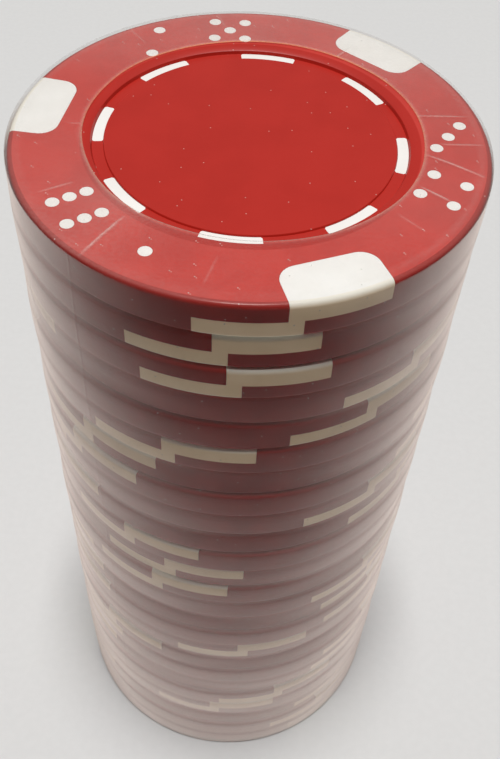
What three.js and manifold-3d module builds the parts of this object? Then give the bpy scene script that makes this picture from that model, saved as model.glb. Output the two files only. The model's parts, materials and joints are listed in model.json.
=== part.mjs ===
// A shrink-wrapped roll of 25 round chips with staggered white edge blocks.
// Millimetres, +Z up. The origin is the middle of the roll's bottom end, on the surface it stands on.
import * as THREE from 'three';
import { mergeVertices } from 'three/addons/utils/BufferGeometryUtils.js';
import Module from 'manifold-3d';

const wasm = await Module();
wasm.setup();

// Driving dimensions of one chip.
const chipRadius = 19.5;
const chipThickness = 3.3;
const rimInnerRadius = 13.85;
const recessRadius = 12.9;
const recessDepth = 0.4;
const chipSides = 20;

// White inner moulding: a core plate, which also fills the place of the steel slug, carries three blocks
// in each half of the chip's edge.
const coreRadius = 16;
const coreThickness = 1.8;
const coreSides = 6;
const blocksPerFace = 3;
const blockInnerRadius = 15.5;
const blockInnerWidth = 7.6;
const blockEdgeAngle = THREE.MathUtils.degToRad(23.6);
const stagger = THREE.MathUtils.degToRad(-20);
const mouldingClearance = 0.1;

// The stack.
const chipCount = 25;
const chipGap = 0.03;
const chipPitch = chipThickness + chipGap;
const sideSlip = 0.12;
const slipStep = THREE.MathUtils.degToRad(137.5);
// How far each chip is turned about the roll's axis from facing -Y, in degrees, top chip first.
const chipTurns = [21, 6, 9, 57, 45, -7, -32, -38, 51, -53, -21, -8, -12,
  58, -57, -55, 15, -34, -52, -56, 30, 6, 60, 50, 58];

// Film sleeve, shrunk over both end rims.
const filmThickness = 0.1;
const filmClearance = 0.09;
const filmOpeningRadius = 13.7;
const filmCorner = 0.06;
const filmSides = 48;

const filmOuterRadius = chipRadius + sideSlip + filmClearance + filmThickness;
const stackBottom = filmThickness + chipGap;
const rollHeight = 2 * stackBottom + chipCount * chipPitch - chipGap;

const redPlastic = new THREE.MeshStandardMaterial({ color: 0xb3302a, roughness: 0.45, metalness: 0 });
const whitePlastic = new THREE.MeshStandardMaterial({ color: 0xf0ece2, roughness: 0.5, metalness: 0 });
const clearFilm = new THREE.MeshStandardMaterial({
  color: 0xe8e8e8, roughness: 0.12, metalness: 0, transparent: true, opacity: 0.25,
});

function solidOf(geometry) {
  const bare = geometry.clone();
  bare.deleteAttribute('normal');
  bare.deleteAttribute('uv');
  const merged = mergeVertices(bare, 1e-4);
  return new wasm.Manifold(new wasm.Mesh({
    numProp: 3,
    vertProperties: new Float32Array(merged.attributes.position.array),
    triVerts: new Uint32Array(merged.index.array),
  }));
}

function geometryOf(solid) {
  const mesh = solid.getMesh();
  const geometry = new THREE.BufferGeometry();
  geometry.setAttribute('position', new THREE.BufferAttribute(mesh.vertProperties, 3));
  geometry.setIndex(new THREE.BufferAttribute(mesh.triVerts, 1));
  return geometry;
}

// A solid turned from [radius, height] points that start and end on the Z axis, or close on themselves.
function turned(points, sides) {
  const profile = points.map(([radius, height]) => new THREE.Vector2(radius, height));
  return new THREE.LatheGeometry(profile, sides).rotateX(Math.PI / 2);
}

function chipBlank() {
  const top = chipThickness;
  return solidOf(turned([
    [0, recessDepth], [recessRadius, recessDepth], [rimInnerRadius, 0], [chipRadius, 0],
    [chipRadius, top], [rimInnerRadius, top], [recessRadius, top - recessDepth], [0, top - recessDepth],
  ], chipSides));
}

function corePlate(clearance) {
  const radius = coreRadius + clearance;
  const low = (chipThickness - coreThickness) / 2 - clearance;
  const high = (chipThickness + coreThickness) / 2 + clearance;
  return solidOf(turned([[0, low], [radius, low], [radius, high], [0, high]], coreSides));
}

// One edge block pointing along +X. It widens outwards, to its full angle at the chip's edge.
function edgeBlock(clearance, low, high) {
  const outer = chipRadius + 1;
  const inner = blockInnerRadius - clearance;
  const innerHalf = blockInnerWidth / 2 + clearance;
  const edgeHalf = chipRadius * Math.sin(blockEdgeAngle / 2) + clearance;
  const widening = (edgeHalf - innerHalf) / (chipRadius - blockInnerRadius);
  const outerHalf = edgeHalf + widening;
  const outline = new THREE.Shape();
  outline.moveTo(inner, -innerHalf);
  outline.lineTo(outer, -outerHalf);
  outline.lineTo(outer, outerHalf);
  outline.lineTo(inner, innerHalf);
  outline.closePath();
  const depth = high - low;
  return new THREE.ExtrudeGeometry(outline, { depth, bevelEnabled: false }).translate(0, 0, low);
}

// The white moulding before it is trimmed to the chip. With clearance, the space that the red one leaves for it.
function insertBlank(clearance) {
  const middle = chipThickness / 2;
  const past = 1;
  let solid = corePlate(clearance);
  for (let i = 0; i < blocksPerFace; i += 1) {
    const angle = (i * 2 * Math.PI) / blocksPerFace;
    const upper = edgeBlock(clearance, middle - clearance, chipThickness + past).rotateZ(angle);
    const lower = edgeBlock(clearance, -past, middle + clearance).rotateZ(angle + stagger);
    solid = solid.add(solidOf(upper)).add(solidOf(lower));
  }
  return solid;
}

const blank = chipBlank();
const bodyGeometry = geometryOf(blank.subtract(insertBlank(mouldingClearance)));
const insertGeometry = geometryOf(blank.intersect(insertBlank(0)));

function chip(index) {
  const number = String(index + 1).padStart(2, '0');
  const body = new THREE.Mesh(bodyGeometry, redPlastic);
  body.name = `chip_${number}_body`;
  const insert = new THREE.Mesh(insertGeometry, whitePlastic);
  insert.name = `chip_${number}_insert`;
  const slipAngle = index * slipStep;
  const group = new THREE.Group();
  group.add(body, insert);
  group.position.set(
    sideSlip * Math.cos(slipAngle),
    sideSlip * Math.sin(slipAngle),
    stackBottom + (chipCount - 1 - index) * chipPitch,
  );
  group.rotation.z = THREE.MathUtils.degToRad(chipTurns[index] - 90);
  return group;
}

function filmSleeve() {
  const outer = filmOuterRadius;
  const inner = outer - filmThickness;
  const low = filmThickness;
  const high = rollHeight - filmThickness;
  const rimEnd = outer - filmCorner;
  const sleeve = turned([
    [filmOpeningRadius, 0], [rimEnd, 0], [outer, filmCorner],
    [outer, rollHeight - filmCorner], [rimEnd, rollHeight], [filmOpeningRadius, rollHeight],
    [filmOpeningRadius, high], [inner, high], [inner, low], [filmOpeningRadius, low],
    [filmOpeningRadius, 0],
  ], filmSides);
  const mesh = new THREE.Mesh(geometryOf(solidOf(sleeve)), clearFilm);
  mesh.name = 'shrink_sleeve';
  return mesh;
}

const group = new THREE.Group();
group.add(filmSleeve());
for (let index = 0; index < chipCount; index += 1) {
  group.add(chip(index));
}

export default group;
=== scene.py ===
"""Looks of the shrink-wrapped roll of 25 dice-pattern chips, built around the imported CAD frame.

Metres, Z up, the roll's axis along Z and its front towards -Y. Every chip is one pair of mouldings round a
steel slug, made once from profiles and booleans, then copied to the 25 chip bodies.
"""

import json
import math

import bmesh
import bpy
from mathutils import Matrix, Vector, noise


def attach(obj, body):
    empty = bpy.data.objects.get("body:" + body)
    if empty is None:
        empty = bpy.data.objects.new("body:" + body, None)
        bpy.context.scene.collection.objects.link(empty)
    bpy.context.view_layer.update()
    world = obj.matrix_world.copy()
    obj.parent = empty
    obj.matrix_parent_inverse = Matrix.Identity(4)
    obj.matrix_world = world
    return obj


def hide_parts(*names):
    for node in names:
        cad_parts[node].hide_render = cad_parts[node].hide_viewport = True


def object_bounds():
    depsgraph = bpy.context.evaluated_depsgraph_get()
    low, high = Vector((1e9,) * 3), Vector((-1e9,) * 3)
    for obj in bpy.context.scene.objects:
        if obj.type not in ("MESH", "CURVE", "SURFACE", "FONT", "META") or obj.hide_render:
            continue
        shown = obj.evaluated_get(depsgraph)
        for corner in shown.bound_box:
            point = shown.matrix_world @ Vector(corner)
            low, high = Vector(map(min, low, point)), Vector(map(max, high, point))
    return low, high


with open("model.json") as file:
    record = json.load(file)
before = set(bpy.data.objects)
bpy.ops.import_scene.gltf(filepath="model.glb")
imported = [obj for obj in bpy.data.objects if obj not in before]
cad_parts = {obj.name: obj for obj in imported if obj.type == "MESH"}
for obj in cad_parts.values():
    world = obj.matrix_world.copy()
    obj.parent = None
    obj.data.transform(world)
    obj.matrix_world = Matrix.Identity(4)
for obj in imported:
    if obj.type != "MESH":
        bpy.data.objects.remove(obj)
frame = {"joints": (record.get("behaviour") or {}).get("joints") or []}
cad_low, cad_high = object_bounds()

MM = 0.001
CHIP_COUNT = 25
CHIP_RADIUS = 19.5 * MM
CHIP_THICKNESS = 3.3 * MM
HALF_THICKNESS = CHIP_THICKNESS / 2

# How far each chip is turned from facing -Y, in degrees, top chip first. The CAD stack is turned the same
# way. The blocks repeat every 120 degrees, so below the top chip a turn may be off by a third of a turn.
CHIP_TURNS = (21, 6, 9, 57, 45, -7, -32, -38, 51, -53, -21, -8, -12,
              58, -57, -55, 15, -34, -52, -56, 30, 6, 60, 50, 58)
FRONT = -90
STAGGER = -20

# Chip face.
RIM_INNER = 13.85 * MM
SHOULDER_RADIUS = 13.0 * MM
SHOULDER_DEPTH = 0.14 * MM
RING_OUTER = 12.84 * MM
RING_DEPTH = 0.45 * MM
DISC_RADIUS = 11.92 * MM
DISC_DEPTH = 0.30 * MM
EDGE_FILLET = 0.45 * MM
LATHE_STEPS = 120

# White moulding.
CARRIER_RADIUS = 18.5 * MM
CARRIER_HALF = 1.0 * MM
BLOCK_INNER = 15.45 * MM
BLOCK_INNER_WIDTH = 7.7 * MM
BLOCK_EDGE_ANGLE = math.radians(23.6)
BLOCK_CORNER = 1.5 * MM
# How far a block's outline runs past the chip's edge before it is cut to the blank.
BLOCK_OVERSHOOT = 1 * MM
PIP_RADIUS = 0.54 * MM
PIP_REACH = 1.38 * MM
FACE_RADIUS = 16.15 * MM
FACE_OFFSET = 12.6
FACE_TURN = 19.4
DASH_INNER = 11.95 * MM
DASH_OUTER = 12.82 * MM
DASH_CORNER = 0.14 * MM
DASH_ANGLE = 22
DASH_PHASE = 18.5
PARTING_GAP = 0.012 * MM

FLOOR_RADIUS = 0.75

# Dust: one possible speck in each cell, in cells per metre.
SPECK_CELLS = 600

# Steel slug.
SLUG_RADIUS = 14.2 * MM
SLUG_HALF = 0.75 * MM

# Film sleeve.
FILM_THICKNESS = 0.05 * MM
FILM_CLEARANCE = 0.05 * MM
FILM_OPENING = Vector((0.37, 0.52)) * MM
FILM_OPENING_RADII = Vector((13.85, 13.48)) * MM
FILM_STEPS = 200


# ---------------------------------------------------------------- mesh helpers

def mesh_object(name, bm):
    mesh = bpy.data.meshes.new(name)
    bm.to_mesh(mesh)
    bm.free()
    obj = bpy.data.objects.new(name, mesh)
    bpy.context.scene.collection.objects.link(obj)
    return obj


def revolved(bm, profile, steps=LATHE_STEPS):
    """Turns (radius, height) points about Z. A profile with both ends on the axis gives a closed solid."""
    rings = []
    for radius, height in profile:
        if radius == 0:
            rings.append([bm.verts.new((0, 0, height))])
            continue
        angles = (2 * math.pi * i / steps for i in range(steps))
        rings.append([bm.verts.new((radius * math.cos(a), radius * math.sin(a), height)) for a in angles])
    for low, high in zip(rings, rings[1:]):
        for i in range(steps):
            j = (i + 1) % steps
            corners = [low[i % len(low)], low[j % len(low)], high[j % len(high)], high[i % len(high)]]
            bm.faces.new(list(dict.fromkeys(corners)))


def prism(bm, outline, low, high):
    """Closed upright prism over a counter-clockwise outline of (x, y) points."""
    bottom = [bm.verts.new((x, y, low)) for x, y in outline]
    top = [bm.verts.new((x, y, high)) for x, y in outline]
    bm.faces.new(bottom[::-1])
    bm.faces.new(top)
    for i in range(len(outline)):
        j = (i + 1) % len(outline)
        bm.faces.new((bottom[i], bottom[j], top[j], top[i]))


def turned_points(points, degrees):
    turn = Matrix.Rotation(math.radians(degrees), 2)
    return [tuple(turn @ Vector(p)) for p in points]


def combined(base, tool, operation):
    """Applies one exact boolean to base and deletes the tool."""
    modifier = base.modifiers.new("boolean", "BOOLEAN")
    modifier.operation = operation
    modifier.solver = "EXACT"
    modifier.object = tool
    graph = bpy.context.evaluated_depsgraph_get()
    mesh = bpy.data.meshes.new_from_object(base.evaluated_get(graph))
    base.modifiers.clear()
    base.data = mesh
    bpy.data.objects.remove(tool)
    return base


def other_side(tool):
    """A copy of a tool for the lower face: the chip turned over about the axis between its block pairs."""
    copy = bpy.data.objects.new(tool.name + "_low", tool.data.copy())
    bpy.context.scene.collection.objects.link(copy)
    half_turn = Matrix.Rotation(math.pi, 4, "X")
    to_axis = Matrix.Rotation(math.radians(STAGGER / 2), 4, "Z")
    copy.data.transform(to_axis @ half_turn @ to_axis.inverted())
    return copy


# ---------------------------------------------------------------- chip shapes, centred on the chip's middle

def arc(cx, cy, radius, start, end, steps):
    angles = [math.radians(start + (end - start) * i / steps) for i in range(steps + 1)]
    return [(cx + radius * math.cos(a), cy + radius * math.sin(a)) for a in angles]


def chip_half_profile():
    """Upper half of the outside, from the axis out to the middle of the edge."""
    top = HALF_THICKNESS
    soft = 0.05 * MM
    points = [(0, top - DISC_DEPTH), (DISC_RADIUS - soft, top - DISC_DEPTH)]
    points += [(DISC_RADIUS, top - DISC_DEPTH - soft)]
    points += [(DISC_RADIUS + soft / 2, top - RING_DEPTH), (RING_OUTER, top - RING_DEPTH)]
    points += [(SHOULDER_RADIUS - soft, top - SHOULDER_DEPTH - soft)]
    points += [(SHOULDER_RADIUS + soft, top - SHOULDER_DEPTH)]
    points += [(RIM_INNER - 0.4 * MM, top - 0.05 * MM), (RIM_INNER, top)]
    fillet = arc(0, 0, EDGE_FILLET, 90, 0, 6)
    points += [(CHIP_RADIUS - EDGE_FILLET + x, top - EDGE_FILLET + y) for x, y in fillet]
    return points


def chip_blank():
    upper = chip_half_profile()
    lower = [(radius, -height) for radius, height in upper]
    bm = bmesh.new()
    revolved(bm, lower + upper[::-1])
    return mesh_object("blank", bm)


def block_outline(gap):
    """Edge block pointing along +X, with round inner corners, wider at the chip's edge."""
    inner = BLOCK_INNER - gap
    inner_half = BLOCK_INNER_WIDTH / 2 + gap
    edge_half = CHIP_RADIUS * math.sin(BLOCK_EDGE_ANGLE / 2) + gap
    outer = CHIP_RADIUS + BLOCK_OVERSHOOT
    outer_half = edge_half + (edge_half - inner_half) / (CHIP_RADIUS - BLOCK_INNER) * BLOCK_OVERSHOOT
    corner_x = inner + BLOCK_CORNER
    corner_y = inner_half - BLOCK_CORNER
    outline = [(outer, -outer_half), (outer, outer_half)]
    outline += arc(corner_x, corner_y, BLOCK_CORNER, 90, 180, 8)
    outline += arc(corner_x, -corner_y, BLOCK_CORNER, 180, 270, 8)
    return outline


def dash_outline(gap):
    half = DASH_ANGLE / 2
    cut = half - math.degrees(DASH_CORNER / DASH_OUTER)
    outline = arc(0, 0, DASH_OUTER + gap, -cut, cut, 10)
    sides = (DASH_OUTER - DASH_CORNER, DASH_INNER + DASH_CORNER)
    outline += [turned_points([(radius, 0)], half)[0] for radius in sides]
    outline += arc(0, 0, DASH_INNER - gap, cut, -cut, 10)
    outline += [turned_points([(radius, 0)], -half)[0] for radius in reversed(sides)]
    return outline


# Pip places on each dice face, in units of PIP_REACH: outwards from the chip's middle, then round.
DICE = {
    1: ((0, 0),),
    2: ((1, -1), (-1, 1)),
    3: ((1, 1), (0, 0), (-1, -1)),
    4: ((1, 1), (1, -1), (-1, 1), (-1, -1)),
    5: ((1, 1), (1, -1), (0, 0), (-1, 1), (-1, -1)),
    6: ((1, 1), (0, 1), (-1, 1), (1, -1), (0, -1), (-1, -1)),
}
# The pair of dice faces after each block, by the angle of the pair's middle.
DICE_PAIRS = {60: (4, 3), 180: (5, 2), 300: (6, 1)}


def pip_centres():
    for middle, numbers in DICE_PAIRS.items():
        for side, number in zip((-1, 1), numbers):
            place = turned_points([(FACE_RADIUS, 0)], middle + side * FACE_OFFSET)[0]
            for out, round_ in DICE[number]:
                offset = turned_points([(out * PIP_REACH, round_ * PIP_REACH)], middle + side * FACE_TURN)[0]
                yield place[0] + offset[0], place[1] + offset[1]


def blocks_tool(gap):
    bm = bmesh.new()
    for i in range(3):
        prism(bm, turned_points(block_outline(gap), 120 * i), -gap, HALF_THICKNESS + 1 * MM)
    return mesh_object("blocks", bm)


def posts_tool(gap):
    """Pips and dashes of the upper face, standing up out of the carrier."""
    root = CARRIER_HALF - 0.1 * MM
    top = HALF_THICKNESS + 1 * MM
    bm = bmesh.new()
    for x, y in pip_centres():
        prism(bm, arc(x, y, PIP_RADIUS + gap, 0, 360 - 22.5, 15), root, top)
    for i in range(8):
        prism(bm, turned_points(dash_outline(gap), DASH_PHASE + 45 * i), root, top)
    return mesh_object("posts", bm)


def insert_shape(gap):
    bm = bmesh.new()
    half = CARRIER_HALF + gap
    radius = CARRIER_RADIUS + gap
    revolved(bm, [(0, -half), (radius, -half), (radius, half), (0, half)], 72)
    solid = mesh_object("insert", bm)
    for tool in (blocks_tool(gap), posts_tool(gap)):
        lower = other_side(tool)
        combined(solid, tool, "UNION")
        combined(solid, lower, "UNION")
    return solid


def slug_mesh(gap):
    bm = bmesh.new()
    half = SLUG_HALF + gap
    radius = SLUG_RADIUS + gap
    burr = 0.12 * MM
    revolved(bm, [(0, -half), (radius - burr, -half), (radius, burr - half),
                  (radius, half - burr), (radius - burr, half), (0, half)], 96)
    return mesh_object("slug", bm)


def shade(mesh, flat_angle=4):
    """Smooth curved bands. Level faces stay flat, so that their light isn't bent at the edges."""
    for polygon in mesh.polygons:
        level = abs(polygon.normal.z) > math.cos(math.radians(flat_angle))
        polygon.use_smooth = not level
    mesh.set_sharp_from_angle(angle=math.radians(35))


def chip_meshes():
    white = combined(chip_blank(), insert_shape(0), "INTERSECT")
    white = combined(white, slug_mesh(PARTING_GAP), "DIFFERENCE")
    red = combined(chip_blank(), insert_shape(PARTING_GAP), "DIFFERENCE")
    slug = slug_mesh(0)
    for obj in (white, red, slug):
        shade(obj.data)
    return red, white, slug


# ---------------------------------------------------------------- materials

class Nodes:
    """Short way to build a node tree."""

    def __init__(self, name):
        self.material = bpy.data.materials.new(name)
        self.material.use_nodes = True
        self.tree = self.material.node_tree
        self.tree.nodes.clear()
        self.output = self.tree.nodes.new("ShaderNodeOutputMaterial")

    def add(self, kind, inputs=(), **settings):
        node = self.tree.nodes.new(f"ShaderNode{kind}")
        for key, value in settings.items():
            setattr(node, key, value)
        for key, value in dict(inputs).items():
            self.set(node.inputs[key], value)
        return node

    def set(self, socket, value):
        if isinstance(value, bpy.types.NodeSocket):
            self.tree.links.new(value, socket)
        else:
            socket.default_value = value

    def math(self, operation, a, b=0.0, clamp=False):
        node = self.add("Math", {0: a, 1: b}, operation=operation, use_clamp=clamp)
        return node.outputs[0]

    def ramp(self, value, low, high, to_low=0.0, to_high=1.0, smooth=True):
        node = self.add("MapRange", {"Value": value, "From Min": low, "From Max": high,
                                     "To Min": to_low, "To Max": to_high})
        if smooth:
            node.interpolation_type = "SMOOTHSTEP"
        return node.outputs[0]

    def mix(self, factor, a, b):
        node = self.add("Mix", data_type="RGBA")
        self.set(node.inputs[0], factor)
        self.set(node.inputs[6], a)
        self.set(node.inputs[7], b)
        return node.outputs[2]

    def noise(self, vector, scale, detail=3.0, roughness=0.5):
        node = self.add("TexNoise", {"Vector": vector, "Scale": scale, "Detail": detail,
                                     "Roughness": roughness})
        return node.outputs[0]


def place_nodes(nodes):
    """Object coordinates, distance from the object's own upright axis, and height."""
    place = nodes.add("TexCoord").outputs["Object"]
    parts = nodes.add("SeparateXYZ", {0: place}).outputs
    across = nodes.math("MULTIPLY", parts[0], parts[0])
    along = nodes.math("MULTIPLY", parts[1], parts[1])
    radius = nodes.math("SQRT", nodes.math("ADD", across, along))
    return place, radius, parts[2]


def specks(nodes, place, size, share):
    """1 on round dust specks scattered over place's first two coordinates, and 0 elsewhere."""
    cells = nodes.add("TexVoronoi", {"Vector": place, "Scale": SPECK_CELLS}, voronoi_dimensions="2D")
    near = nodes.ramp(cells.outputs["Distance"], size * 0.6, size, 1, 0)
    chosen = nodes.add("SeparateXYZ", {0: cells.outputs["Color"]}).outputs[0]
    return nodes.math("MULTIPLY", near, nodes.math("GREATER_THAN", chosen, 1 - share))


def moulded_surface(nodes, colour, roughness, grain, strength, shine):
    """Plastic whose grain is also its bump. shine is the specular level, which is the same all over."""
    bump = nodes.add("Bump", {"Height": grain, "Strength": strength, "Distance": 0.02 * MM})
    shader = nodes.add("BsdfPrincipled", {"Base Color": colour, "Roughness": roughness,
                                          "Specular IOR Level": shine, "Normal": bump.outputs[0]})
    nodes.set(nodes.output.inputs[0], shader.outputs[0])
    return nodes.material


def red_plastic():
    nodes = Nodes("red_plastic")
    place, radius, _ = place_nodes(nodes)
    on_disc = nodes.ramp(radius, DISC_RADIUS, DISC_RADIUS + 0.04 * MM, 1, 0)
    in_recess = nodes.ramp(radius, RIM_INNER - 0.1 * MM, RIM_INNER, 1, 0)
    mottle = nodes.noise(place, 260, 4)
    grain = nodes.noise(place, 5200, 2)
    dust = specks(nodes, place, 0.035, 0.25)
    rim = nodes.mix(nodes.ramp(mottle, 0.35, 0.65), (0.51, 0.034, 0.024, 1), (0.57, 0.041, 0.029, 1))
    disc = nodes.mix(nodes.ramp(mottle, 0.3, 0.7), (0.435, 0.0150, 0.0075, 1), (0.465, 0.0175, 0.0095, 1))
    face = nodes.mix(in_recess, rim, disc)
    colour = nodes.mix(nodes.math("MULTIPLY", dust, 0.5), face, (0.80, 0.62, 0.55, 1))
    rough = nodes.ramp(grain, 0.3, 0.7, 0.40, 0.52)
    smooth = nodes.ramp(grain, 0.3, 0.7, 0.38, 0.44)
    roughness = nodes.mix(in_recess, rough, smooth)
    lumps = nodes.math("MULTIPLY", grain, nodes.math("SUBTRACT", 1.0, nodes.math("MULTIPLY", on_disc, 0.7)))
    return moulded_surface(nodes, colour, roughness, lumps, 0.3, 0.36)


def white_plastic():
    nodes = Nodes("white_plastic")
    place, _, _ = place_nodes(nodes)
    mottle = nodes.noise(place, 300, 4)
    grain = nodes.noise(place, 5200, 2)
    colour = nodes.mix(nodes.ramp(mottle, 0.3, 0.7), (0.85, 0.835, 0.79, 1), (0.90, 0.89, 0.85, 1))
    return moulded_surface(nodes, colour, nodes.ramp(grain, 0.3, 0.7, 0.38, 0.50), grain, 0.25, 0.5)


def red_edge_painted_shade():
    """The chip's edge: a weaker shine, and darker than its faces, which is painted shade for the dim light on
    the sides.
    """
    nodes = Nodes("red_edge_painted_shade")
    place, _, height = place_nodes(nodes)
    mottle = nodes.noise(place, 300, 4)
    grain = nodes.noise(place, 5200, 2)
    shoulder = nodes.ramp(nodes.math("ABSOLUTE", height), HALF_THICKNESS - EDGE_FILLET, HALF_THICKNESS)
    # The wall's dark red is painted shade; the fillet's lighter red carries less of it.
    wall = nodes.mix(nodes.ramp(mottle, 0.3, 0.7), (0.17, 0.0085, 0.0065, 1), (0.215, 0.011, 0.0085, 1))
    colour = nodes.mix(shoulder, wall, (0.36, 0.026, 0.020, 1))
    return moulded_surface(nodes, colour, nodes.ramp(grain, 0.3, 0.7, 0.42, 0.55), grain, 0.35, 0.12)


def white_edge_painted_shade():
    nodes = Nodes("white_edge_painted_shade")
    place, _, height = place_nodes(nodes)
    mottle = nodes.noise(place, 300, 4)
    grain = nodes.noise(place, 5200, 2)
    shoulder = nodes.ramp(nodes.math("ABSOLUTE", height), HALF_THICKNESS - EDGE_FILLET, HALF_THICKNESS)
    # The wall is darker than the face, which is painted shade for the dim light on the sides, and warmer in
    # tone; the fillet's paler colour carries less of that shade.
    wall = nodes.mix(nodes.ramp(mottle, 0.3, 0.7), (0.66, 0.49, 0.31, 1), (0.71, 0.54, 0.36, 1))
    colour = nodes.mix(shoulder, wall, (0.85, 0.81, 0.71, 1))
    return moulded_surface(nodes, colour, nodes.ramp(grain, 0.3, 0.7, 0.42, 0.55), grain, 0.25, 0.12)


def slug_steel():
    nodes = Nodes("slug_steel")
    place, _, _ = place_nodes(nodes)
    stretched = nodes.add("Mapping", {"Vector": place, "Scale": (1, 30, 1)}).outputs[0]
    lines = nodes.noise(stretched, 400, 3)
    colour = nodes.mix(lines, (0.42, 0.42, 0.43, 1), (0.58, 0.58, 0.59, 1))
    roughness = nodes.ramp(lines, 0.3, 0.7, 0.28, 0.42)
    shader = nodes.add("BsdfPrincipled", {"Base Color": colour, "Roughness": roughness, "Metallic": 1.0})
    nodes.set(nodes.output.inputs[0], shader.outputs[0])
    return nodes.material


def clear_film():
    """Thin clear film: see-through face on, and a soft mirror where it is seen at a flat angle. The mesh says
    how much milk it carries at each point, with painted highlight and sheen in that milk on the lip, how
    shiny it is, and where its cut edge is."""
    nodes = Nodes("clear_film")
    place, _, height = place_nodes(nodes)
    milk_and_sheen = nodes.add("Attribute", attribute_name="milk_and_sheen").outputs["Fac"]
    cut_edge_highlight = nodes.add("Attribute", attribute_name="cut_edge_highlight").outputs["Fac"]
    cloud = nodes.noise(place, 70, 5, 0.6)
    grain = nodes.noise(place, 3500, 2)
    parts = nodes.add("SeparateXYZ", {0: place}).outputs
    round_ = nodes.math("MULTIPLY", nodes.math("ARCTAN2", parts[1], parts[0]), CHIP_RADIUS)
    spread = nodes.add("CombineXYZ", {0: round_, 1: height}).outputs[0]
    on_lip = nodes.ramp(milk_and_sheen, 0.01, 0.02)
    dust_lip = nodes.math("MULTIPLY", specks(nodes, place, 0.04, 0.22), on_lip)
    dust_side = nodes.math("MULTIPLY", specks(nodes, spread, 0.045, 0.2), nodes.math("SUBTRACT", 1.0, on_lip))
    dust = nodes.math("MULTIPLY", nodes.math("ADD", dust_lip, dust_side), 0.35)
    facing = nodes.add("LayerWeight", {"Blend": 0.5}).outputs["Facing"]
    steep = nodes.math("POWER", nodes.ramp(facing, 0.30, 0.90, smooth=False), 1.6)
    sheen = nodes.math("MULTIPLY", steep, 0.86)
    shine = nodes.add("Attribute", attribute_name="shine").outputs["Fac"]
    mirror = nodes.math("ADD", nodes.math("MINIMUM", nodes.math("MULTIPLY", sheen, shine), 0.9), 0.008)
    veil = nodes.math("MULTIPLY", milk_and_sheen, nodes.ramp(nodes.math("ADD", cloud, grain), 0.7, 1.3, 0.7, 1.3))
    bloom = nodes.ramp(cloud, 0.35, 0.75, 0.001, 0.010)
    haze = nodes.math("ADD", nodes.math("ADD", veil, bloom), dust, clamp=True)
    # The cut edge's milk turns orange: a painted highlight.
    tint = nodes.mix(cut_edge_highlight, (0.95, 0.89, 0.82, 1), (1.0, 0.46, 0.22, 1))
    clear = nodes.add("BsdfTransparent", {"Color": (0.97, 0.97, 0.97, 1)})
    gloss = nodes.add("BsdfGlossy", {"Color": (1, 0.885, 0.83, 1), "Roughness": 0.2})
    milk = nodes.add("BsdfDiffuse", {"Color": tint})
    wet = nodes.add("MixShader", {0: mirror, 1: clear.outputs[0], 2: gloss.outputs[0]})
    whole = nodes.add("MixShader", {0: haze, 1: wet.outputs[0], 2: milk.outputs[0]})
    nodes.set(nodes.output.inputs[0], whole.outputs[0])
    return nodes.material


def clear_inside():
    nodes = Nodes("clear_film_inside")
    clear = nodes.add("BsdfTransparent", {"Color": (1, 1, 1, 1)})
    nodes.set(nodes.output.inputs[0], clear.outputs[0])
    return nodes.material


# ---------------------------------------------------------------- film sleeve

def chip_middles():
    """Axis point of each chip at its middle, from the chips' joints, top chip first."""
    middles = []
    for index in range(CHIP_COUNT):
        joint = next(j for j in frame["joints"] if j["name"] == f"chip_{index + 1:02d}_turn")
        middles.append(Vector(joint["pos_m"]))
    return middles


# Wrinkles in the top lip: each runs from one (angle, radius in mm) to another, with its height in mm.
RIDGES = (
    ((13.0, 14.2), (11.5, 18.4), 0.05), ((-2.5, 15.4), (-0.5, 18.8), 0.045),
    ((-9.5, 14.2), (-13.5, 19.1), 0.07), ((-26.5, 14.6), (-26.8, 17.2), 0.06),
    ((231.5, 14.2), (233.0, 19.2), 0.08), ((210, 15.0), (209.3, 17.8), 0.035),
    ((59.5, 13.9), (58.0, 16.2), 0.045), ((181, 13.6), (180.8, 14.6), 0.03),
    ((100, 16.2), (101, 19.0), 0.02), ((128, 16.0), (127, 18.8), 0.02),
    ((318, 14.5), (319, 17.2), 0.02), ((262, 15.0), (261, 18.0), 0.02),
)
RIDGE_WIDTH = 0.09
# The two lay-flat creases of the tube: angle, and height in mm.
CREASES = ((FRONT - 40, 0.012), (FRONT + 140, 0.012))
LIP_MILK = 0.029
# Milkier and clearer parts of the lip, by the angle of their middle.
LIP_PATCHES = ((227, 0.050), (158, -0.028), (45, 0.016))
# Strength, and radius in mm, of the pale band where the film bends over the chip's edge: a painted highlight.
FOLD_HIGHLIGHT = 0.03
FOLD_RADIUS = 18.7
RIDGE_MILK = 3.2
CREASE_MILK = 0.06
EDGE_HIGHLIGHT = 0.32
# How the side's shine varies: duller over each joint and clearer high on the front, both painted shade, and
# stronger at the foot, a painted reflection.
JOINT_PAINTED_SHADE = 0.22
FRONT_PAINTED_SHADE = 0.55
FOOT_PAINTED_REFLECTION = 0.6
# Width in mm of the pale band along the film's cut edge, which is a painted highlight.
EDGE_WIDTH = 0.2


def turn_from(angle, middle):
    return (angle - middle + 180) % 360 - 180


def ridge_angle(ridge, radius):
    """Where the ridge crosses this radius, in degrees."""
    (start, near), (end, far), _ = ridge
    return start + (end - start) * (radius / MM - near) / (far - near)


def ridge_height(angle, radius):
    total = 0.0
    for ridge in RIDGES:
        (_, near), (_, far), height = ridge
        if near < radius / MM < far:
            across = math.radians(turn_from(angle, ridge_angle(ridge, radius))) * radius / MM / RIDGE_WIDTH
            if abs(across) < 4:
                fade = math.sin(math.pi * (radius / MM - near) / (far - near)) ** 0.5
                total += height * fade * math.exp(-across * across)
    return total * MM


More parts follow.
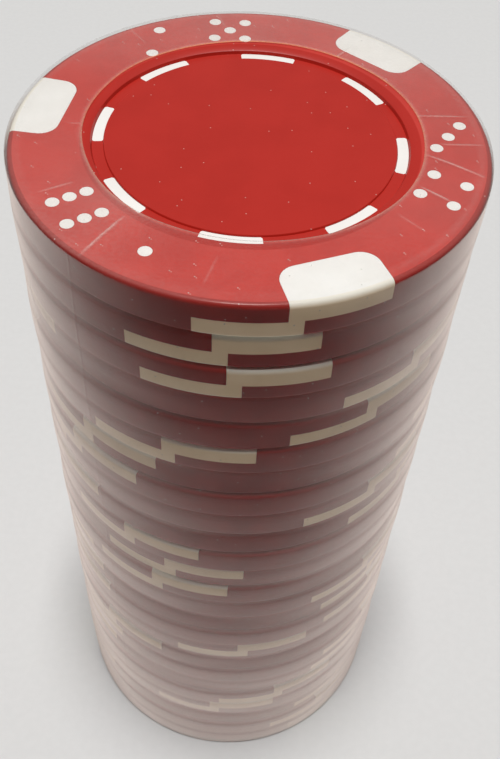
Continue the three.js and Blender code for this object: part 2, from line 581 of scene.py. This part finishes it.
def crease_height(angle, radius):
    total = 0.0
    for crease, height in CREASES:
        across = math.radians(turn_from(angle, crease)) * radius / MM / RIDGE_WIDTH
        if abs(across) < 4:
            total += height * math.exp(-across * across)
    return total * MM


def film_angles():
    """Even steps all round, with finer ones along each wrinkle and crease."""
    angles = {round(360 * i / FILM_STEPS, 3) for i in range(FILM_STEPS)}
    lines = [crease for crease, _ in CREASES]
    for (start, _), (end, _), _ in RIDGES:
        count = 2 + int(abs(end - start) / 0.5)
        lines += [start + (end - start) * i / (count - 1) for i in range(count)]
    for line in lines:
        angles.update(round((line + offset) % 360, 3) for offset in (-0.9, -0.5, -0.25, 0, 0.25, 0.5, 0.9))
    return [math.radians(a) for a in sorted(angles)]


def film_mesh(middles):
    """The sleeve as one sheet: bottom lip, side and top lip.

    Each point carries how much milk the film shows there, how near its cut edge is, and how much it shines;
    the lip's milk holds painted highlights and sheen, and the side's shine holds painted shade and
    reflection.
    """
    low = cad_low.z + FILM_THICKNESS / 2
    high = cad_high.z - FILM_THICKNESS / 2 - 0.02 * MM
    joints = [(upper.z + lower.z) / 2 for upper, lower in zip(middles, middles[1:])]

    def to_joint(height):
        return min(abs(height - joint) for joint in joints)

    def reach(angle, height):
        """How far the taut film stands out, bridging from one chip that sticks out to the next."""
        out = max(m.x * math.cos(angle) + m.y * math.sin(angle)
                  - 0.035 * max(0, abs(height - m.z) - 1.3 * MM) for m in middles)
        dent = 0.02 * MM * math.exp(-(to_joint(height) / (0.4 * MM)) ** 2)
        return CHIP_RADIUS + FILM_CLEARANCE + out - dent

    def back_share(angle):
        return min(1, max(0, 0.6 + 1.5 * math.sin(angle)))

    def side_shine(angle, height):
        """Duller over joints and on the back's top corner, clear high on the front, shiniest at the foot:
        painted shade over the joints and the front, painted reflection at the foot.
        """
        # Painted shade: less reflection over each joint, where the film dips.
        joint_shade = JOINT_PAINTED_SHADE * math.exp(-(to_joint(height) / (0.45 * MM)) ** 2)
        front = math.exp(-(turn_from(math.degrees(angle), FRONT + 6) / 20) ** 2)
        # Painted shade: less reflection high on the front.
        clear = FRONT_PAINTED_SHADE * front * min(1, max(0, (height / MM - 28) / 30))
        # Painted reflection: more shine towards the foot.
        foot = FOOT_PAINTED_REFLECTION * max(0, 1 - height / MM / 27)
        corner = min(1, max(0, 2 - (cad_high.z - height) / (0.3 * MM)))
        return (1 - joint_shade) * (1 - clear) * (1 + foot) * (1 - corner * back_share(angle))

    def side_point(angle, height):
        radius = reach(angle, height)
        crease = crease_height(math.degrees(angle), radius)
        ripple = noise.noise(Vector((math.cos(angle) * 3, math.sin(angle) * 3, height / MM * 0.05)))
        radius += crease + ripple * 0.02 * MM
        strength = 0.5 + noise.noise(Vector((angle, 0, height / MM * 0.25)))
        milk = CREASE_MILK * strength * crease / (CREASES[0][1] * MM)
        point = Vector((radius * math.cos(angle), radius * math.sin(angle), height))
        return point, max(0, milk), 0, side_shine(angle, height)

    def lip_point(angle, share, height, up):
        """share is 0 at the opening and 1 at the rim's outer edge."""
        direction = Vector((math.cos(angle), math.sin(angle), 0))
        opening = Vector((FILM_OPENING.x + FILM_OPENING_RADII.x * direction.x,
                          FILM_OPENING.y + FILM_OPENING_RADII.y * direction.y, 0))
        wave = noise.noise(Vector((direction.x * 2.5, direction.y * 2.5, 5 * up))) * 0.1 * MM
        opening += direction * wave
        outer = direction * (reach(angle, height) - 0.15 * MM)
        point = opening.lerp(outer, share)
        lift = ridge_height(math.degrees(angle), point.length) if up > 0 else 0
        inset = (point - opening).length / MM
        # The cut edge's band is a painted highlight, strongest on the far side, towards the light.
        edge = math.exp(-(inset / EDGE_WIDTH) ** 2) * max(0.3, 0.75 + 0.45 * direction.y)
        # The pale band where the film bends over the chip's edge is a painted highlight.
        fold = math.exp(-((point.length / MM - FOLD_RADIUS) / 0.25) ** 2)
        # The far half of the lip is milkier: painted sheen for the haze the film shows at a flatter angle.
        far = 0.036 * max(0, direction.y)
        patches = sum(extra * math.exp(-(turn_from(math.degrees(angle), middle) / 15) ** 2)
                      for middle, extra in LIP_PATCHES)
        milk = LIP_MILK + far + patches + FOLD_HIGHLIGHT * fold + RIDGE_MILK * lift / MM + EDGE_HIGHLIGHT * edge
        gloss = 1 - back_share(angle) if share == 1 else 1
        return point + Vector((0, 0, height + up * lift)), milk, edge, gloss

    angles = film_angles()
    steps = len(angles)
    shares = [0, 0.012, 0.03, 0.05, 0.08] + [0.14 + 0.072 * i for i in range(12)] + [1]
    heights = [low + 0.12 * MM]
    for middle in reversed(middles):
        heights += [middle.z + offset * MM for offset in (-1.45, -1.1, -0.4, 0.4, 1.1, 1.45)]
    heights += [high - 0.12 * MM]
    rows = [[lip_point(a, share, low, -1) for a in angles] for share in shares]
    rows += [[side_point(a, height) for a in angles] for height in heights]
    rows += [[lip_point(a, share, high, 1) for a in angles] for share in reversed(shares)]

    bm = bmesh.new()
    milk_and_sheen = bm.verts.layers.float.new("milk_and_sheen")
    cut_edge_highlight = bm.verts.layers.float.new("cut_edge_highlight")
    shine = bm.verts.layers.float.new("shine")
    grid = []
    for row in rows:
        line = []
        for point, milk, edge, gloss in row:
            vert = bm.verts.new(point)
            vert[milk_and_sheen] = milk
            vert[cut_edge_highlight] = edge
            vert[shine] = gloss
            line.append(vert)
        grid.append(line)
    for lower, upper in zip(grid, grid[1:]):
        for i in range(steps):
            j = (i + 1) % steps
            bm.faces.new((lower[i], lower[j], upper[j], upper[i]))
    obj = mesh_object("film_sleeve", bm)
    for polygon in obj.data.polygons:
        polygon.use_smooth = True
    return obj


def film_sleeve(middles):
    obj = film_mesh(middles)
    obj.data.materials.append(clear_film())
    obj.data.materials.append(clear_inside())
    thick = obj.modifiers.new("thickness", "SOLIDIFY")
    thick.thickness = FILM_THICKNESS
    thick.offset = 0
    thick.material_offset = 1
    thick.material_offset_rim = 1
    graph = bpy.context.evaluated_depsgraph_get()
    mesh = bpy.data.meshes.new_from_object(obj.evaluated_get(graph))
    obj.modifiers.clear()
    obj.data = mesh
    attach(obj, "sleeve")
    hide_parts("shrink_sleeve")
    return obj


# ---------------------------------------------------------------- stack of chips

def stack_of_chips(middles):
    red, white, slug = chip_meshes()
    materials = {"body": (red_plastic(), red_edge_painted_shade()), "insert": (white_plastic(), white_edge_painted_shade())}
    materials["slug"] = (slug_steel(),) * 2
    shapes = {"body": red, "insert": white, "slug": slug}
    for shape, obj in shapes.items():
        obj.data.materials.clear()
        for material in materials[shape]:
            obj.data.materials.append(material)
        for polygon in obj.data.polygons:
            polygon.material_index = int(polygon.center.xy.length > CHIP_RADIUS - EDGE_FILLET)
    for index, middle in enumerate(middles):
        chip = f"chip_{index + 1:02d}"
        # Quarter turns of the object keep its box tight, and vary the grain from chip to chip.
        quarter = 90 * (index % 4)
        turn = Matrix.Rotation(math.radians(CHIP_TURNS[index] + FRONT - quarter), 4, "Z")
        for shape, source in shapes.items():
            piece = bpy.data.objects.new(f"{chip}_{shape}_look", source.data.copy())
            piece.data.transform(turn)
            bpy.context.scene.collection.objects.link(piece)
            piece.location = middle
            piece.rotation_euler.z = math.radians(quarter)
            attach(piece, chip)
            if shape != "slug":
                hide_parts(f"{chip}_{shape}")
    for obj in shapes.values():
        bpy.data.objects.remove(obj)


# ---------------------------------------------------------------- camera, floor and light

# Yaw, pitch and roll in radians, focal length in mm, and how far back from the axis and above the roll it is.
CAMERA_TURN = (0.0183, 0.8672, 0.0588)
CAMERA_LENS = 44.73
CAMERA_BACK = 64.5 * MM
CAMERA_ABOVE = 45.3 * MM
LAMP_WATTS = 42.5
LAMP_WIDTH = 0.42


def photo_camera():
    """The photographer's place: in front of the roll and above it, tilted down and rolled a little."""
    yaw, pitch, roll = CAMERA_TURN
    data = bpy.data.cameras.new("camera")
    data.sensor_width = 36
    data.lens = CAMERA_LENS
    data.clip_start = 0.005
    camera = bpy.data.objects.new("camera", data)
    bpy.context.scene.collection.objects.link(camera)
    forward = Vector((math.sin(yaw) * math.cos(pitch), math.cos(yaw) * math.cos(pitch), -math.sin(pitch)))
    right = Vector((math.cos(yaw), -math.sin(yaw), 0))
    up = right.cross(forward)
    right, up = (math.cos(roll) * right + math.sin(roll) * up, math.cos(roll) * up - math.sin(roll) * right)
    axes = Matrix((right, up, -forward)).transposed()
    camera.matrix_world = Matrix.Translation((0, -CAMERA_BACK, cad_high.z + CAMERA_ABOVE)) @ axes.to_4x4()
    bpy.context.scene.camera = camera


def floor():
    """A round sheet of paper that fades into the backdrop."""
    bm = bmesh.new()
    bmesh.ops.create_circle(bm, cap_ends=True, segments=96, radius=FLOOR_RADIUS)
    obj = mesh_object("floor", bm)
    obj.location.z = cad_low.z
    nodes = Nodes("floor")
    place, distance, _ = place_nodes(nodes)
    fibres = nodes.ramp(nodes.noise(place, 900, 4), 0.3, 0.7)
    colour = nodes.mix(fibres, (0.70, 0.695, 0.685, 1), (0.715, 0.71, 0.70, 1))
    paper = nodes.add("BsdfPrincipled", {"Base Color": colour, "Roughness": 0.6, "Specular IOR Level": 0.2})
    gone = nodes.add("BsdfTransparent", {"Color": (1, 1, 1, 1)})
    fade = nodes.ramp(distance, FLOOR_RADIUS / 2, FLOOR_RADIUS * 0.98)
    whole = nodes.add("MixShader", {0: fade, 1: paper.outputs[0], 2: gone.outputs[0]})
    nodes.set(nodes.output.inputs[0], whole.outputs[0])
    obj.data.materials.append(nodes.material)


def soft_light(name, place, target, width, height, power):
    data = bpy.data.lights.new(name, "AREA")
    data.shape = "RECTANGLE"
    data.size = width
    data.size_y = height
    data.energy = power
    lamp = bpy.data.objects.new(name, data)
    bpy.context.scene.collection.objects.link(lamp)
    lamp.location = place
    lamp.rotation_euler = (Vector(target) - Vector(place)).to_track_quat("-Z", "Y").to_euler()


def studio():
    scene = bpy.context.scene
    scene.view_settings.view_transform = "Standard"
    world = bpy.data.worlds.new("studio")
    world.use_nodes = True
    tree = world.node_tree
    background = tree.nodes["Background"]
    direction = tree.nodes.new("ShaderNodeTexCoord").outputs["Generated"]
    parts = tree.nodes.new("ShaderNodeSeparateXYZ")
    tree.links.new(direction, parts.inputs[0])
    behind = tree.nodes.new("ShaderNodeMapRange")
    behind.interpolation_type = "SMOOTHSTEP"
    for key, value in {"From Min": -0.1, "From Max": 0.55, "To Min": 0.04, "To Max": 0.30}.items():
        behind.inputs[key].default_value = value
    tree.links.new(parts.outputs[1], behind.inputs["Value"])
    # The backdrop is as pale as the floor. What it lights the object with is dimmer, and comes from behind.
    seen = tree.nodes.new("ShaderNodeLightPath").outputs["Is Camera Ray"]
    strength = tree.nodes.new("ShaderNodeMix")
    strength.inputs[3].default_value = 0.70
    tree.links.new(seen, strength.inputs[0])
    tree.links.new(behind.outputs[0], strength.inputs[2])
    tree.links.new(strength.outputs[0], background.inputs[1])
    background.inputs[0].default_value = (1.0, 0.98, 0.96, 1)
    scene.world = world
    soft_light("overhead", (0, -0.07, 2.2), (0, 0, 0.04), LAMP_WIDTH, LAMP_WIDTH, LAMP_WATTS)


photo_camera()
chip_centres = chip_middles()
stack_of_chips(chip_centres)
film_sleeve(chip_centres)
floor()
studio()
